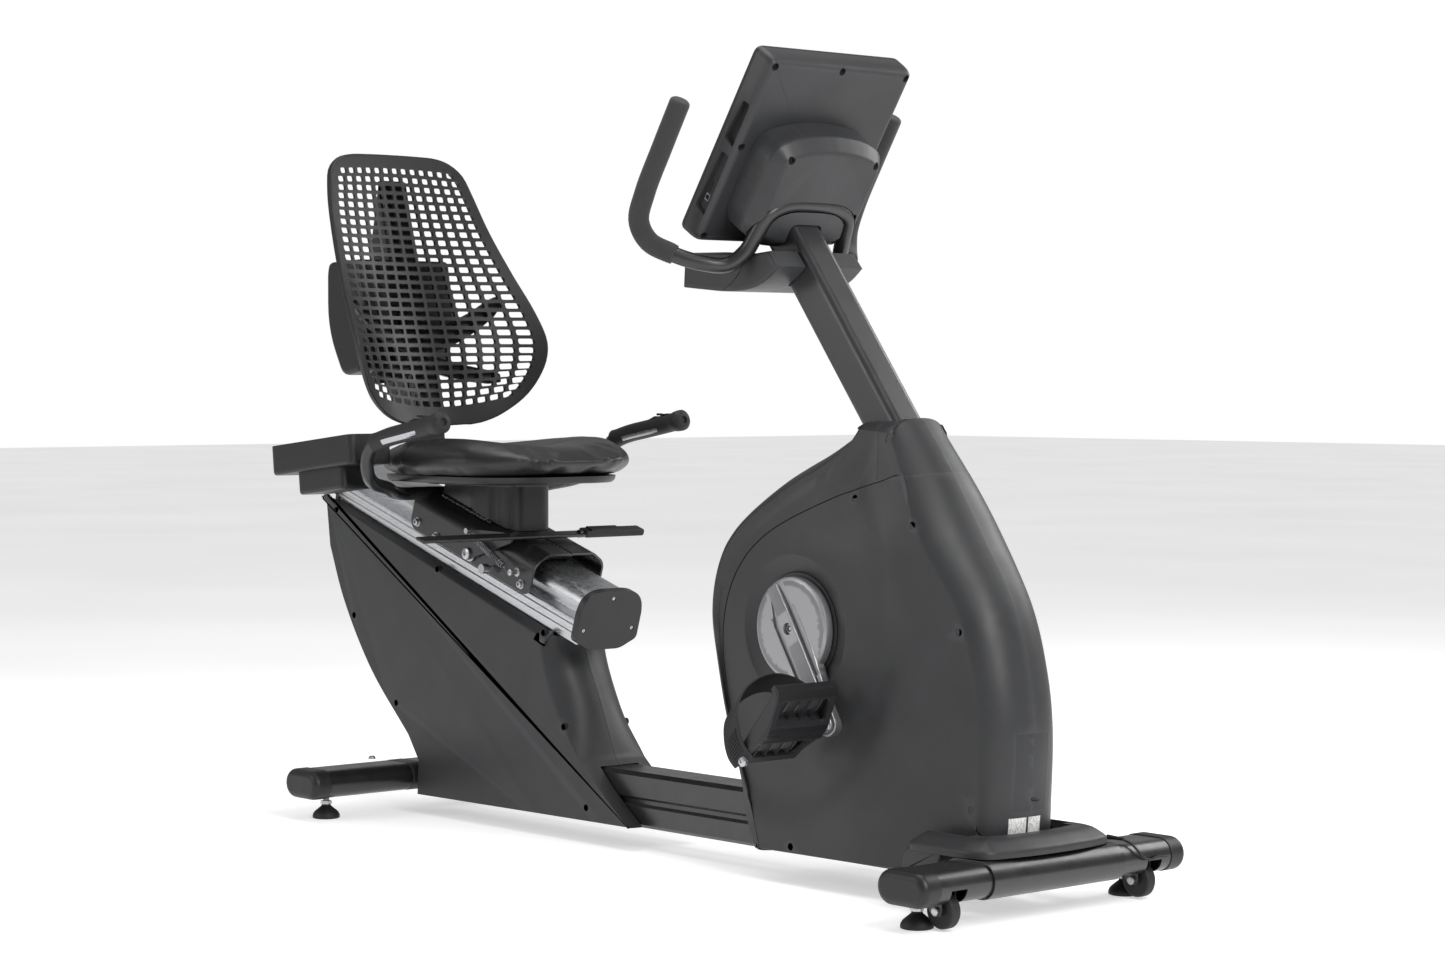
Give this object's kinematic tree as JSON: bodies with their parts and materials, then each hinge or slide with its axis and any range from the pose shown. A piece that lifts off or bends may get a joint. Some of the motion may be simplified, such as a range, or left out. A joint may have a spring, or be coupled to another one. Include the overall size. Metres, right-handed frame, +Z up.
{
  "type": "recumbent exercise bike",
  "caption": "Recumbent exercise bike with a sliding padded seat and slotted backrest on a sloping rail, an enclosed crank drive, a console on a leaning mast and a wraparound handlebar.",
  "frame": {"origin": "on the floor under the middle of the bike's length and width, the thin lead left out", "axes": "+X from the seat to the console, +Y to the seated rider's left, +Z up"},
  "size_m": [1.9151, 0.6039, 1.3774],
  "materials": {
    "shell": "fine textured moulding",
    "paint": "semi-gloss black powder coat",
    "trim": "satin black moulding",
    "rubber": "matt",
    "foam": "closed-cell foam sleeve",
    "padding": "smooth black upholstery over foam",
    "anodised": "clear anodised extrusion",
    "crank": "silver-grey paint",
    "steel": "plated",
    "iron": "as cast",
    "screen": "black display window"
  },
  "bodies": {
    "frame": {"main_frame": "paint", "front_stabiliser_tube": "paint", "rear_stabiliser_tube": "paint", "end_cap_front_right": "trim", "end_cap_front_left": "trim", "end_cap_rear_right": "trim", "end_cap_rear_left": "trim", "rear_housing_right": "shell", "rear_housing_left": "shell", "rear_foot_cover": "shell", "front_skirt": "shell", "seat_rail": "anodised", "rail_end_cap_front": "trim", "rail_end_cap_rear": "trim", "shroud_right": "shell", "shroud_left": "shell", "mast_collar": "shell", "inlet_panel": "trim", "crank_bracket": "paint", "mast_base": "paint", "mast": "paint", "console_back_shell": "shell", "console_bezel": "trim", "console_screen": "screen", "console_rear_cover": "shell", "console_lower_cover": "shell", "handlebar": "paint", "foam_grip_right": "foam", "foam_grip_left": "foam", "drive_belt": "rubber", "sensor_lead": "rubber", "lead_strain_relief": "rubber"},
    "crankset": {"crank_axle_pulley": "steel", "crank_arm_right": "crank", "crank_arm_left": "crank"},
    "right_pedal": {"pedal_right": "trim"},
    "left_pedal": {"pedal_left": "trim"},
    "flywheel_assembly": {"flywheel": "iron"},
    "carriage": {"carriage_frame": "paint", "seat_pan": "trim", "seat_cushion": "padding", "backrest": "trim", "back_support": "trim", "side_handle_tube": "paint", "side_grip_right": "rubber", "side_grip_left": "rubber", "accessory_tray": "trim", "lever_spring": "steel"},
    "front_roller": {"carriage_roller_front": "trim"},
    "rear_roller": {"carriage_roller_rear": "trim"},
    "release_lever": {"seat_lever": "paint"},
    "release_pin": {"lock_pin": "steel"},
    "front_right_foot": {"levelling_foot_front_right": "rubber"},
    "front_left_foot": {"levelling_foot_front_left": "rubber"},
    "rear_right_foot": {"levelling_foot_rear_right": "rubber"},
    "rear_left_foot": {"levelling_foot_rear_left": "rubber"},
    "right_wheel": {"transport_wheel_right": "rubber"},
    "left_wheel": {"transport_wheel_left": "rubber"},
    "right_rocker": {"thumb_rocker_right": "trim"},
    "left_rocker": {"thumb_rocker_left": "trim"}
  },
  "joints": [
    {"name": "crank_spin", "type": "hinge", "parent": "frame", "child": "crankset", "pos_m": [0.4652, 0, 0.425], "axis": [0, 1, 0], "continuous": true},
    {"name": "right_pedal_spin", "type": "hinge", "parent": "crankset", "child": "right_pedal", "pos_m": [0.55533, -0.2, 0.275], "axis": [0, 1, 0], "continuous": true},
    {"name": "left_pedal_spin", "type": "hinge", "parent": "crankset", "child": "left_pedal", "pos_m": [0.37507, 0.2, 0.575], "axis": [0, 1, 0], "continuous": true},
    {"name": "flywheel_spin", "type": "hinge", "parent": "frame", "child": "flywheel_assembly", "pos_m": [0.6452, 0, 0.27], "axis": [0, 1, 0], "continuous": true},
    {"name": "seat_slide", "type": "slide", "parent": "frame", "child": "carriage", "axis": [0.9537, 0, -0.3007], "range_m": [-0.25, 0.12]},
    {"name": "front_roller_spin", "type": "hinge", "parent": "carriage", "child": "front_roller", "pos_m": [-0.30499, 0, 0.51367], "axis": [0, 1, 0], "range_deg": [-1100, 560]},
    {"name": "rear_roller_spin", "type": "hinge", "parent": "carriage", "child": "rear_roller", "pos_m": [-0.58634, 0, 0.60238], "axis": [0, 1, 0], "range_deg": [-1100, 560]},
    {"name": "lever_lift", "type": "hinge", "parent": "carriage", "child": "release_lever", "pos_m": [-0.4545, -0.09, 0.50838], "axis": [0, -1, 0], "range_deg": [0, 12], "stiffness_Nm_per_rad": 8, "springref_deg": -8.59},
    {"name": "pin_draw", "type": "slide", "parent": "carriage", "child": "release_pin", "axis": [0, -1, 0], "range_m": [0, 0.0085]},
    {"name": "front_right_foot_turn", "type": "hinge", "parent": "frame", "child": "front_right_foot", "pos_m": [0.8752, -0.237, 0.03], "axis": [0, 0, 1], "continuous": true},
    {"name": "front_left_foot_turn", "type": "hinge", "parent": "frame", "child": "front_left_foot", "pos_m": [0.8752, 0.237, 0.03], "axis": [0, 0, 1], "continuous": true},
    {"name": "rear_right_foot_turn", "type": "hinge", "parent": "frame", "child": "rear_right_foot", "pos_m": [-0.7088, -0.237, 0.03], "axis": [0, 0, 1], "continuous": true},
    {"name": "rear_left_foot_turn", "type": "hinge", "parent": "frame", "child": "rear_left_foot", "pos_m": [-0.7088, 0.237, 0.03], "axis": [0, 0, 1], "continuous": true},
    {"name": "right_wheel_spin", "type": "hinge", "parent": "frame", "child": "right_wheel", "pos_m": [0.9182, -0.223, 0.0315], "axis": [0, 1, 0], "continuous": true},
    {"name": "left_wheel_spin", "type": "hinge", "parent": "frame", "child": "left_wheel", "pos_m": [0.9182, 0.223, 0.0315], "axis": [0, 1, 0], "continuous": true},
    {"name": "right_rocker_tilt", "type": "hinge", "parent": "carriage", "child": "right_rocker", "pos_m": [-0.3288, -0.282, 0.764], "axis": [0, 1, 0], "range_deg": [-5, 5], "stiffness_Nm_per_rad": 0.3},
    {"name": "left_rocker_tilt", "type": "hinge", "parent": "carriage", "child": "left_rocker", "pos_m": [-0.3288, 0.282, 0.764], "axis": [0, 1, 0], "range_deg": [-5, 5], "stiffness_Nm_per_rad": 0.3}
  ],
  "couplings": [
    {"joint": "flywheel_spin", "follows": "crank_spin", "ratio": 4.1071},
    {"joint": "front_roller_spin", "follows": "seat_slide", "rad_per_m": 74.074},
    {"joint": "rear_roller_spin", "follows": "seat_slide", "rad_per_m": 74.074},
    {"joint": "pin_draw", "follows": "lever_lift", "m_per_rad": 0.0382}
  ]
}
